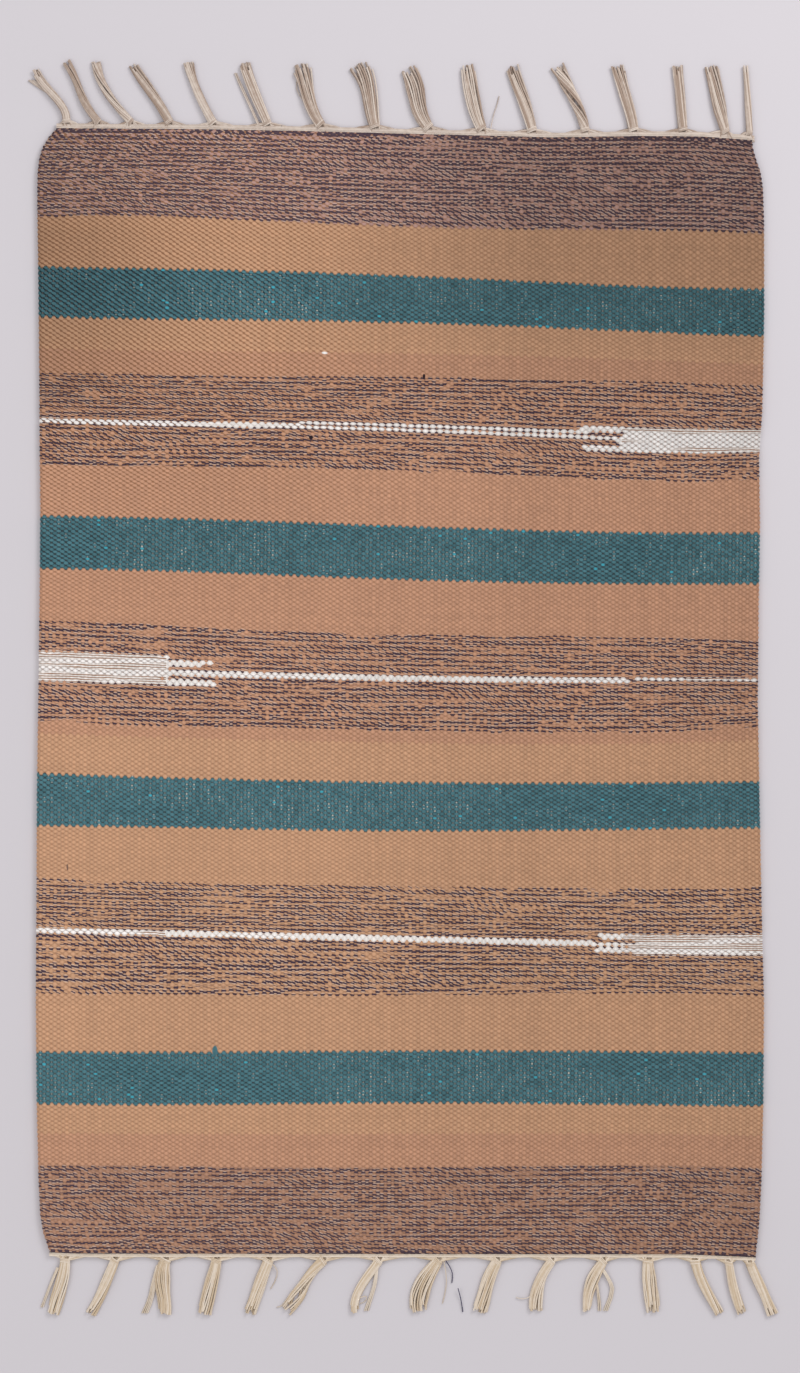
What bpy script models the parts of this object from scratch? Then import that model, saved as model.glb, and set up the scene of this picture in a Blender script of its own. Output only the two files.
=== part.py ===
"""A flat-woven cotton kilim, 60 by 93 cm of cloth, with a knotted fringe at both ends.

Metres, +Z up. The rug lies on z = 0 with its length along Y and the first fringe
towards +Y. Three pieces: the cloth, and for each end one heading strip of bare warp
with its tassels. A tassel is a knot on the strip and eight flat locks of yarn, four
on the floor and four lying over them. The locks stand apart all the way from the
knot, so only their roots are joined.
"""

import math
from collections import namedtuple

import bmesh
import bpy

MM = 0.001

CLOTH_WIDTH = 600 * MM
CLOTH_LENGTH = 926 * MM
CLOTH_THICKNESS = 4.0 * MM
RIM_ROUND = 1.2 * MM
CLOTH_COLUMNS = 20

GAP = 0.4 * MM
HEADING_WIDTH = 5.2 * MM
HEADING_THICKNESS = 3.0 * MM

LOCKS_ACROSS = 4
LOCK_THICKNESS = 1.8 * MM
LOCK_APART = 0.4 * MM
LOCK_TIP_WIDTH = 0.6
LOCK_STATIONS = (0.16, 0.4, 0.7, 1.0)
RAGGED_END = 0.1

# The side edges, in mm. down: distance from the top edge. left, right: how far the
# selvedge is drawn in from the full width.
Side = namedtuple("Side", "down left right")
SIDES = (
    Side(0, 16.5, 9.1),
    Side(8, 9.9, 8.3),
    Side(17, 5.0, 5.8),
    Side(26, 2.4, 2.5),
    Side(40, 0.8, 0.4),
    Side(70, 0.6, -0.5),
    Side(140, 1.6, -0.7),
    Side(223, 2.4, 0.9),
    Side(264, 2.5, 3.6),
    Side(320, 3.1, 2.8),
    Side(388, 2.6, 3.9),
    Side(471, 1.6, 4.7),
    Side(554, 0.2, 3.2),
    Side(636, 0.0, 1.6),
    Side(719, -0.6, -0.5),
    Side(802, 0.1, 0.1),
    Side(866, 1.6, 1.7),
    Side(896, 3.0, 3.2),
    Side(910, 5.4, 4.6),
    Side(919, 8.3, 5.6),
    Side(926, 10.7, 6.0),
)

# The end edges, in mm. across: from the centre line, + to the right. rise: how far
# the edge lies beyond its nominal line, + towards the first fringe.
End = namedtuple("End", "across rise")
TOP_EDGE = (
    End(-300, 3.0),
    End(-165, 2.0),
    End(-83, 0.6),
    End(0, -1.6),
    End(83, -3.6),
    End(125, -4.8),
    End(198, -3.6),
    End(248, -4.0),
    End(300, -7.6),
)
BOTTOM_EDGE = (
    End(-300, 0.2),
    End(-265, -1.1),
    End(0, -1.4),
    End(235, -1.7),
    End(300, -4.4),
)

# The two fringes, in mm. root: the knot's place across the rug. third, far, tip: how
# far the tassel lies to the right of its root a third of the way, two thirds of the way
# and at its tip. reach: from the cloth's edge to the tip. neck, upper, lower, hem: its
# widths at the same places.
Tassel = namedtuple("Tassel", "root third far tip reach neck upper lower hem")
TOP_FRINGE = (
    Tassel(-276, -4.5, -16.5, -25.5, 49.0, 6.5, 7.5, 8.5, 10.0),
    Tassel(-250, -11.0, -18.0, -26.0, 56.0, 6.5, 6.0, 6.0, 6.5),
    Tassel(-223, -14.0, -24.0, -28.5, 56.0, 6.5, 6.0, 6.5, 7.5),
    Tassel(-191, -9.0, -20.0, -30.5, 54.5, 7.5, 7.0, 8.0, 7.0),
    Tassel(-155, -8.5, -15.5, -20.0, 56.0, 7.5, 7.0, 6.5, 8.5),
    Tassel(-110, -7.0, -13.5, -19.0, 56.5, 7.5, 8.5, 9.0, 10.0),
    Tassel(-66, -8.0, -12.0, -16.5, 56.5, 8.5, 10.5, 12.5, 15.0),
    Tassel(-21, -3.0, -6.0, -13.0, 58.0, 9.0, 12.5, 14.0, 18.0),
    Tassel(23, -7.5, -10.5, -16.5, 55.5, 10.0, 15.0, 16.5, 14.0),
    Tassel(67, -5.5, -8.5, -11.0, 59.0, 9.0, 12.5, 12.5, 11.5),
    Tassel(109, -4.5, -10.5, -16.0, 59.5, 8.5, 10.0, 10.5, 10.5),
    Tassel(153, -5.5, -14.0, -23.0, 59.5, 7.5, 8.5, 9.0, 11.5),
    Tassel(193, -3.5, -8.5, -13.0, 59.0, 8.5, 10.0, 10.5, 11.5),
    Tassel(234, -1.5, -3.0, -4.5, 59.0, 7.5, 8.5, 8.5, 9.0),
    Tassel(269, -4.5, -8.0, -11.5, 60.5, 7.5, 11.5, 10.5, 10.5),
    Tassel(288, -1.0, -2.0, -3.5, 62.0, 6.0, 6.0, 6.0, 6.0),
)
BOTTOM_FRINGE = (
    Tassel(-277, -2.0, -6.0, -10.0, 51.0, 8.5, 11.5, 11.5, 10.5),
    Tassel(-236, -5.5, -12.0, -20.0, 50.5, 7.5, 8.5, 8.0, 8.0),
    Tassel(-194, -2.5, -1.0, -0.5, 50.5, 9.0, 15.5, 12.5, 10.5),
    Tassel(-152, -3.0, -6.5, -9.5, 50.5, 8.5, 11.5, 12.5, 13.0),
    Tassel(-109, -5.5, -10.5, -15.5, 50.5, 8.5, 10.5, 10.0, 10.0),
    Tassel(-64, -12.0, -20.5, -30.5, 48.0, 8.5, 7.5, 10.5, 10.0),
    Tassel(-18, -8.5, -14.5, -16.0, 49.0, 7.5, 11.0, 13.0, 14.0),
    Tassel(31, -9.5, -15.5, -15.5, 48.0, 8.5, 14.0, 16.5, 14.0),
    Tassel(80, -6.5, -10.5, -14.5, 48.5, 8.5, 12.0, 11.5, 11.5),
    Tassel(125, -8.5, -12.5, -12.5, 48.0, 7.5, 8.5, 10.5, 10.5),
    Tassel(168, -6.5, -7.0, -8.0, 48.0, 7.5, 14.0, 17.0, 15.0),
    Tassel(205, 1.0, 3.0, 4.5, 48.5, 8.5, 12.5, 12.5, 11.5),
    Tassel(244, 5.0, 12.5, 20.5, 49.0, 8.5, 8.5, 7.5, 7.5),
    Tassel(271, 2.5, 6.0, 11.0, 48.0, 6.5, 7.5, 7.5, 7.5),
    Tassel(289, 6.0, 12.5, 18.5, 48.0, 7.5, 8.5, 7.5, 9.0),
)

# The knot's sections, in mm. out: from the strip outwards. width: as a share of the
# tassel's neck. crown: how much lower it is at its sides.
Section = namedtuple("Section", "out width height crown")
KNOT = (
    Section(0.6, 0.85, 3.6, 0.15),
    Section(2.2, 1.0, 5.0, 0.35),
    Section(4.0, 0.85, 4.0, 0.25),
)
KNOT_END = KNOT[-1]


def read_table(table, at, column):
    """The column's value at a place in the table's first column, straight between rows."""
    for here, after in zip(table, table[1:]):
        if at <= after[0]:
            break
    share = min(max((at - here[0]) / (after[0] - here[0]), 0.0), 1.0)
    first = getattr(here, column)
    return first + share * (getattr(after, column) - first)


def end_edge(side, x):
    """The y of the cloth's edge at the top (side 1) or at the bottom (side -1)."""
    table = TOP_EDGE if side > 0 else BOTTOM_EDGE
    return side * CLOTH_LENGTH / 2 + read_table(table, x / MM, "rise") * MM


def make_object(name, bm, colour):
    """Turns the bmesh into an object of that name with its own yarn material."""
    bmesh.ops.recalc_face_normals(bm, faces=bm.faces)
    mesh = bpy.data.meshes.new(name)
    bm.to_mesh(mesh)
    bm.free()
    material = bpy.data.materials.new(name + "_yarn")
    material.use_nodes = True
    shader = material.node_tree.nodes["Principled BSDF"]
    shader.inputs["Base Color"].default_value = (*colour, 1.0)
    shader.inputs["Roughness"].default_value = 0.9
    shader.inputs["Metallic"].default_value = 0.0
    mesh.materials.append(material)
    obj = bpy.data.objects.new(name, mesh)
    bpy.context.scene.collection.objects.link(obj)
    return obj


def draw_out(bm, faces, keep=False):
    """Extrudes the faces as one region, and returns the new end faces and their points."""
    grown = bmesh.ops.extrude_face_region(bm, geom=faces)["geom"]
    if not keep:
        bmesh.ops.delete(bm, geom=faces, context="FACES")
    ends = [item for item in grown if isinstance(item, bmesh.types.BMFace)]
    moved = [item for item in grown if isinstance(item, bmesh.types.BMVert)]
    return ends, moved


def woven_cloth():
    """The cloth: a grid laid between the four uneven edges, thickened, its rim rounded."""
    bm = bmesh.new()
    bmesh.ops.create_grid(bm, x_segments=CLOTH_COLUMNS, y_segments=len(SIDES) - 1, size=1.0)
    for vert in bm.verts:
        row = SIDES[round((1.0 - vert.co.y) / 2 * (len(SIDES) - 1))]
        across = (vert.co.x + 1.0) / 2
        left = -CLOTH_WIDTH / 2 + row.left * MM
        right = CLOTH_WIDTH / 2 - row.right * MM
        x = left + across * (right - left)
        down = row.down / SIDES[-1].down
        top, bottom = end_edge(1, x), end_edge(-1, x)
        vert.co = (x, top + down * (bottom - top), 0.0)
    _, raised = draw_out(bm, bm.faces[:], keep=True)
    bmesh.ops.translate(bm, verts=raised, vec=(0.0, 0.0, CLOTH_THICKNESS))
    bmesh.ops.recalc_face_normals(bm, faces=bm.faces)
    rim = [edge for edge in bm.edges if edge.calc_face_angle(0.0) > math.radians(60)]
    level = [edge for edge in rim if edge.verts[0].co.z == edge.verts[1].co.z]
    bmesh.ops.bevel(
        bm,
        geom=level,
        offset=RIM_ROUND,
        offset_type="OFFSET",
        segments=2,
        profile=0.5,
        affect="EDGES",
        material=-1,
        clamp_overlap=True,
    )
    return make_object("woven_cloth", bm, (0.42, 0.24, 0.15))


def strip_stations(fringe, first, last):
    """The strip's columns across the rug: its two ends and the edges of every lock's root."""
    stations = [first]
    for tassel in fringe:
        for step in range(LOCKS_ACROSS + 1):
            share = step / LOCKS_ACROSS - 0.5
            stations.append(tassel.root * MM + share * KNOT[0].width * tassel.neck * MM)
    return stations + [last]


def heading_strip(bm, fringe, side, first, last):
    """The strip of bare warp beside the cloth's edge, two faces high."""
    stations = strip_stations(fringe, first, last)
    columns = len(stations) - 1
    bmesh.ops.create_grid(bm, x_segments=columns, y_segments=1, size=1.0)
    for vert in bm.verts:
        x = stations[round((vert.co.x + 1.0) / 2 * columns)]
        out = GAP if vert.co.y < 0.0 else GAP + HEADING_WIDTH
        vert.co = (x, end_edge(side, x) + side * out, 0.0)
    floor = bm.faces[:]
    middle, raised = draw_out(bm, floor, keep=True)
    bmesh.ops.translate(bm, verts=raised, vec=(0.0, 0.0, HEADING_THICKNESS / 2))
    _, raised = draw_out(bm, middle)
    bmesh.ops.translate(bm, verts=raised, vec=(0.0, 0.0, HEADING_THICKNESS / 2))
    bmesh.ops.recalc_face_normals(bm, faces=bm.faces)


def knot(bm, roots, tassel, side):
    """Draws the root faces out through the knot's sections, and returns the end faces."""
    base = end_edge(side, tassel.root * MM) + side * (GAP + HEADING_WIDTH)
    half_root = KNOT[0].width * tassel.neck * MM / 2
    height, crown = HEADING_THICKNESS, 0.0
    for section in KNOT:
        roots, moved = draw_out(bm, roots)
        for vert in moved:
            across = (vert.co.x - tassel.root * MM) / half_root
            up = vert.co.z / (height * (1.0 - crown * across**2))
            vert.co.x = tassel.root * MM + across * section.width * tassel.neck * MM / 2
            vert.co.y = base + side * section.out * MM
            vert.co.z = up * section.height * MM * (1.0 - section.crown * across**2)
        half_root = section.width * tassel.neck * MM / 2
        height, crown = section.height * MM, section.crown
    return roots


def through_thirds(values, share):
    """The cubic curve through four values, at 0, one third, two thirds and 1."""
    first, second, third, last = values
    run = share * 3.0
    total = -first * (run - 1.0) * (run - 2.0) * (run - 3.0) / 6.0
    total += second * run * (run - 2.0) * (run - 3.0) / 2.0
    total -= third * run * (run - 1.0) * (run - 3.0) / 2.0
    return total + last * run * (run - 1.0) * (run - 2.0) / 6.0


def tassel_line(tassel, share):
    """The centre line's offset from the root, across and out, at a share of its run."""
    across = through_thirds((0.0, tassel.third, tassel.far, tassel.tip), share)
    strip = (GAP + HEADING_WIDTH) / MM
    out = KNOT_END.out + (tassel.reach - strip - KNOT_END.out) * share
    return across * MM, out * MM


def half_width(tassel, share):
    """Half the tassel's width, straight between its four widths."""
    widths = (tassel.neck, tassel.upper, tassel.lower, tassel.hem)
    before = min(int(share * 3.0), 2)
    part = share * 3.0 - before
    return (widths[before] + part * (widths[before + 1] - widths[before])) / 2 * MM


def lock(bm, face, tassel, side, index, upper):
    """Draws one end face of the knot out into a flat lock of yarn."""
    place = (2 * index + 1) / LOCKS_ACROSS - 1.0
    low = (LOCK_THICKNESS + LOCK_APART) if upper else 0.0
    ragged = RAGGED_END * ((index * 3 + upper * 2 + round(abs(tassel.root))) % 5) / 4
    base = end_edge(side, tassel.root * MM) + side * (GAP + HEADING_WIDTH)
    for station in LOCK_STATIONS:
        share = min(station, 1.0 - ragged)
        grown = bmesh.ops.extrude_discrete_faces(bm, faces=[face])
        face = grown["faces"][0]
        across, out = tassel_line(tassel, share)
        ahead = tassel_line(tassel, share + 0.01)
        behind = tassel_line(tassel, share - 0.01)
        run = (ahead[0] - behind[0], ahead[1] - behind[1])
        length = math.hypot(*run)
        fan = half_width(tassel, share)
        half = fan / LOCKS_ACROSS - LOCK_APART / 2
        if station == 1.0:
            half *= LOCK_TIP_WIDTH
        middle = face.calc_center_median()
        for vert in face.verts:
            offset = place * fan + math.copysign(half, vert.co.x - middle.x)
            x = tassel.root * MM + across + offset * run[1] / length
            y = base + side * (out - offset * run[0] / length)
            z = low + (LOCK_THICKNESS if vert.co.z > middle.z else 0.0)
            vert.co = (x, y, z)


def fringe_piece(name, fringe, side, first, last, colour):
    """One end's strip with its knots and locks, a single closed body."""
    bm = bmesh.new()
    heading_strip(bm, fringe, side, first, last)
    outer = [face for face in bm.faces if side * face.normal.y > 0.7]
    rooted = []
    for tassel in fringe:
        reach = KNOT[0].width * tassel.neck * MM / 2
        left, right = tassel.root * MM - reach, tassel.root * MM + reach
        rooted.append([face for face in outer if left < face.calc_center_median().x < right])
    for tassel, roots in zip(fringe, rooted):
        ends = knot(bm, roots, tassel, side)
        ends.sort(key=lambda face: face.calc_center_median().x)
        for index in range(LOCKS_ACROSS):
            pair = ends[2 * index : 2 * index + 2]
            pair.sort(key=lambda face: face.calc_center_median().z)
            for upper, face in enumerate(pair):
                lock(bm, face, tassel, side, index, upper)
    return make_object(name, bm, colour)


for leftover in list(bpy.data.objects):
    bpy.data.objects.remove(leftover)

woven_cloth()
fringe_piece("fringe_top", TOP_FRINGE, 1, -283 * MM, 293 * MM, (0.60, 0.50, 0.40))
fringe_piece("fringe_bottom", BOTTOM_FRINGE, -1, -290 * MM, 294 * MM, (0.66, 0.56, 0.46))

corners = [point for obj in bpy.data.objects for point in obj.data.vertices]
for axis in (0, 1):
    reach = [point.co[axis] for point in corners]
    middle = (min(reach) + max(reach)) / 2
    for point in corners:
        point.co[axis] -= middle
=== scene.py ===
# %% [markdown]
# # A kilim rug, thread by thread
#
# The solids of the rug are plain: a flat slab for the cloth, and at each end a strip
# with its tassels. This script dresses them. The cloth becomes a sheet with a point
# at every crossing of its threads, and the fringe becomes separate cotton yarns.
#
# All sizes in the tables are in millimetres, as they would be read off the real rug
# with a ruler. They are turned into metres where they are used.

import math
import random
from collections import namedtuple

import bmesh
import bpy
import numpy as np
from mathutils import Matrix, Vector


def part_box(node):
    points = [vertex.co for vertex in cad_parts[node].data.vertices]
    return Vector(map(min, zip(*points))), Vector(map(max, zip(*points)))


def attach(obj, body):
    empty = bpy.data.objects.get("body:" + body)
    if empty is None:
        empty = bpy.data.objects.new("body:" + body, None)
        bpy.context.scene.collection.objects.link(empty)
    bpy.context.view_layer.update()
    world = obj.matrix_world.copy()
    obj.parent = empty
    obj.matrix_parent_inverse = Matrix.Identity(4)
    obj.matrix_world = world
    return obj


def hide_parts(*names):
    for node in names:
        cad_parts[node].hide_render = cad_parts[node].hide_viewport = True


MM = 0.001

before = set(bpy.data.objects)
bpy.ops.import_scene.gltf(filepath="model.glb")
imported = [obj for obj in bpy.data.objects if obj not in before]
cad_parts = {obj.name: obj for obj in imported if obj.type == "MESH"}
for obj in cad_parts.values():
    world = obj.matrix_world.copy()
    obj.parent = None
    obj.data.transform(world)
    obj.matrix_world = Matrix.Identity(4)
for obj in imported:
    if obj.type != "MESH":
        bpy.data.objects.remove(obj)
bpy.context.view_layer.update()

# %% [markdown]
# ## The rug's outline
#
# Cloth off a hand loom is never a true rectangle. The warp draws in at the corners,
# the sides wander by a few millimetres, and the ends run slightly askew. The drawing
# has its zero in the middle of the cloth, and `place` moves it onto the solids.

# %% Outline tables
CLOTH_WIDTH = 600.0
CLOTH_LENGTH = 926.0

Side = namedtuple("Side", "down left right")
SIDES = (
    Side(0, 16.5, 9.1),
    Side(8, 9.9, 8.3),
    Side(17, 5.0, 5.8),
    Side(26, 2.4, 2.5),
    Side(40, 0.8, 0.4),
    Side(70, 0.6, -0.5),
    Side(140, 1.6, -0.7),
    Side(223, 2.4, 0.9),
    Side(264, 2.5, 3.6),
    Side(320, 3.1, 2.8),
    Side(388, 2.6, 3.9),
    Side(471, 1.6, 4.7),
    Side(554, 0.2, 3.2),
    Side(636, 0.0, 1.6),
    Side(719, -0.6, -0.5),
    Side(802, 0.1, 0.1),
    Side(866, 1.6, 1.7),
    Side(896, 3.0, 3.2),
    Side(910, 5.4, 4.6),
    Side(919, 8.3, 5.6),
    Side(926, 10.7, 6.0),
)

End = namedtuple("End", "across rise")
TOP_EDGE = (
    End(-300, 3.0),
    End(-165, 2.0),
    End(-83, 0.6),
    End(0, -1.6),
    End(83, -3.6),
    End(125, -4.8),
    End(198, -3.6),
    End(248, -4.0),
    End(300, -7.6),
)
BOTTOM_EDGE = (
    End(-300, 0.2),
    End(-265, -1.1),
    End(0, -1.4),
    End(235, -1.7),
    End(300, -4.4),
)


def column(table, name):
    """One column of a table, as an array."""
    return np.array([getattr(row, name) for row in table], float)


def end_edge(side, across):
    """How far along the rug its top edge (side 1) or bottom edge (side -1) lies."""
    table = TOP_EDGE if side > 0 else BOTTOM_EDGE
    rise = np.interp(across, column(table, "across"), column(table, "rise"))
    return side * CLOTH_LENGTH / 2 + rise


def side_edges(down):
    """The left and right selvedge at a distance down from the top edge."""
    at = column(SIDES, "down")
    left = -CLOTH_WIDTH / 2 + np.interp(down, at, column(SIDES, "left"))
    right = CLOTH_WIDTH / 2 - np.interp(down, at, column(SIDES, "right"))
    return left, right


low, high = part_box("woven_cloth")
left_edge, right_edge = side_edges(column(SIDES, "down"))
drawn_x = (left_edge.min() + right_edge.max()) / 2
drawn_y = (end_edge(1, left_edge[0]) + end_edge(-1, right_edge[-1])) / 2
shift_x = (low.x + high.x) / 2 - drawn_x * MM
shift_y = (low.y + high.y) / 2 - drawn_y * MM


def place(x, y, z):
    """A point of the drawing, in millimetres, as a point of the scene, in metres."""
    return (x * MM + shift_x, y * MM + shift_y, z * MM)


print("the drawing is moved by", round(shift_x / MM, 2), round(shift_y / MM, 2), "mm")

# %% [markdown]
# ## Where each pick lies
#
# A pick is one pass of the weft. The rug has 485 of them, and they don't lie
# straight: the beater pushed the first half of the rug down towards the right. The
# table has a row for each line where the colour changes, and for the three white
# inlay lines. `pick` is the first pick below the line. The other columns are five
# places across the rug, and their numbers are distances down from the nominal top edge.

# %% Picks
COLUMNS = 199
PICKS = 485

Line = namedtuple("Line", "pick a b c d e")
ACROSS = (-293.4, -124.0, 41.3, 206.6, 293.4)
LINES = (
    Line(40, 70.4, 72.9, 79.5, 81.2, 83.7),
    Line(62, 111.8, 115.1, 120.9, 128.3, 130.0),
    Line(82, 153.1, 155.6, 158.9, 165.5, 168.8),
    Line(105, 199.4, 201.9, 203.5, 206.8, 210.1),
    Line(128, 238.2, 242.3, 246.9, 253.1, 253.5),
    Line(146, 275.4, 277.9, 282.0, 288.6, 287.8),
    Line(169, 317.5, 321.7, 327.5, 331.6, 331.6),
    Line(192, 361.3, 365.5, 371.2, 373.7, 373.7),
    Line(216, 403.5, 410.9, 415.9, 417.5, 420.8),
    Line(236, 443.6, 448.9, 452.2, 453.4, 453.9),
    Line(258, 487.8, 492.7, 496.0, 496.0, 492.7),
    Line(280, 530.7, 535.7, 538.2, 538.2, 537.3),
    Line(301, 573.7, 576.2, 577.8, 576.2, 575.4),
    Line(326, 617.5, 621.7, 624.1, 625.8, 624.1),
    Line(350, 659.7, 663.8, 667.9, 671.2, 671.2),
    Line(373, 712.6, 713.4, 713.4, 711.7, 713.4),
    Line(397, 760.5, 760.5, 759.7, 760.5, 761.3),
    Line(420, 803.5, 803.5, 802.6, 804.3, 805.1),
    Line(447, 853.9, 855.5, 855.5, 853.9, 856.4),
)


def through(places, values, at):
    """The smooth curve through a few values, read at many places."""
    total = np.zeros_like(at)
    for here, value in zip(places, values):
        others = [p for p in places if p != here]
        share = np.ones_like(at)
        for other in others:
            share = share * (at - other) / (here - other)
        total = total + value * share
    return total


def lay_out_picks():
    """Two arrays with the place of every crossing, a row for each pick."""
    marks = [0.0] + [line.pick - 0.5 for line in LINES] + [PICKS - 1.0]
    picks = np.arange(PICKS, dtype=float)
    middle_down = [0.0] + [line.c for line in LINES] + [CLOTH_LENGTH]
    down = np.interp(picks, marks, middle_down)
    left, right = side_edges(down)
    share = np.arange(COLUMNS) / (COLUMNS - 1)
    xs = left[:, None] + share[None, :] * (right - left)[:, None]
    ys = np.zeros_like(xs)
    for pick in range(PICKS):
        at = xs[pick]
        table = [end_edge(1, at)]
        table += [CLOTH_LENGTH / 2 - through(ACROSS, line[1:], at) for line in LINES]
        table.append(end_edge(-1, at))
        after = min(max(int(np.searchsorted(marks, pick)), 1), len(marks) - 1)
        part = (pick - marks[after - 1]) / (marks[after] - marks[after - 1])
        ys[pick] = table[after - 1] + part * (table[after] - table[after - 1])
    return xs, ys


cross_x, cross_y = lay_out_picks()
mean_pick = float(-np.diff(cross_y, axis=0).mean())
print("crossings:", cross_x.size, "mean pick", round(mean_pick, 3), "mm")

# %% [markdown]
# ## The woven sheet
#
# In plain weave each pick goes over one warp thread and under the next, and the
# next pick does the opposite. So the surface is a chequerboard of small humps: a
# point is up where its column and its pick add to an even number. One grid makes
# the whole top. Its rim is then drawn down, and the underside is closed.

# %% Cloth mesh
CLOTH_TOP = 3.9
HUMP = 0.2
SELVEDGE_LOOP = 0.35

Ring = namedtuple("Ring", "out z")
RIM = (Ring(0.5, 2.1), Ring(-0.5, 0.05))
END_SHARE = 0.3


def weave_sheet():
    """The sheet as a bmesh, with the weave's own coordinates on its points."""
    bm = bmesh.new()
    bmesh.ops.create_grid(bm, x_segments=COLUMNS - 1, y_segments=PICKS - 1, size=1.0)
    along_warp = bm.verts.layers.float.new("pick")
    along_weft = bm.verts.layers.float.new("column")
    for vert in bm.verts:
        i = round((vert.co.x + 1.0) / 2 * (COLUMNS - 1))
        j = round((1.0 - vert.co.y) / 2 * (PICKS - 1))
        up = 1.0 if (i + j) % 2 == 0 else -1.0
        x, y = float(cross_x[j, i]), float(cross_y[j, i])
        if i in (0, COLUMNS - 1):
            x += math.copysign(SELVEDGE_LOOP, i - 1) * up
        vert.co = place(x, y, CLOTH_TOP + HUMP * up)
        vert[along_weft] = float(i)
        vert[along_warp] = float(j)
    return bm


def close_below(bm):
    """Draws the rim down in rings and fills the underside."""
    rim = [edge for edge in bm.edges if edge.is_boundary]
    for ring in RIM:
        grown = bmesh.ops.extrude_edge_only(bm, edges=rim)["geom"]
        rim = [item for item in grown if isinstance(item, bmesh.types.BMEdge) and item.is_boundary]
        moved = {vert for edge in rim for vert in edge.verts}
        for vert in moved:
            outward = Vector((vert.co.x - shift_x, vert.co.y - shift_y))
            at_side = abs(outward.x) / CLOTH_WIDTH > abs(outward.y) / CLOTH_LENGTH
            push = ring.out * MM
            if at_side:
                vert.co.x += push if outward.x > 0 else -push
            else:
                vert.co.y += (push if outward.y > 0 else -push) * END_SHARE
            vert.co.z = ring.z * MM
    bmesh.ops.triangle_fill(bm, use_beauty=False, use_dissolve=False, edges=rim)
    bmesh.ops.recalc_face_normals(bm, faces=bm.faces)


sheet_mesh = bpy.data.meshes.new("kilim_cloth")
bm = weave_sheet()
close_below(bm)
bm.to_mesh(sheet_mesh)
bm.free()
cloth = bpy.data.objects.new("kilim_cloth", sheet_mesh)
bpy.context.scene.collection.objects.link(cloth)
sheet_mesh.shade_smooth()
print("cloth triangles:", sum(len(face.vertices) - 2 for face in sheet_mesh.polygons))

# %% [markdown]
# Every point of the sheet knows its column and its pick. They become the map that the
# shader reads, and a second map that fills a square.

# %% Cloth maps
MARGIN = 0.004


def write_uv(mesh, name, u, v):
    """A UV map from one value of u and v for each point."""
    layer = mesh.uv_layers.new(name=name)
    corners = np.zeros(len(mesh.loops), np.int32)
    mesh.loops.foreach_get("vertex_index", corners)
    pairs = np.stack([u[corners], v[corners]], axis=1).astype(np.float32)
    layer.data.foreach_set("uv", pairs.ravel())


def point_values(mesh, name):
    """A float attribute of the points, as an array."""
    values = np.zeros(len(mesh.vertices), np.float32)
    mesh.attributes[name].data.foreach_get("value", values)
    return values


weft_place = point_values(sheet_mesh, "column")
warp_place = point_values(sheet_mesh, "pick")
write_uv(sheet_mesh, "Weave", weft_place, warp_place)
write_uv(
    sheet_mesh,
    "OFBake",
    MARGIN + (1 - 2 * MARGIN) * weft_place / (COLUMNS - 1),
    1 - MARGIN - (1 - 2 * MARGIN) * warp_place / (PICKS - 1),
)
print("cloth maps:", [layer.name for layer in sheet_mesh.uv_layers])

# %% [markdown]
# ## Shader arithmetic
#
# The colours and the fine relief are worked out from the weave's own coordinates.
# The class below wraps a node's output, so that the formulas read like formulas.

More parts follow.
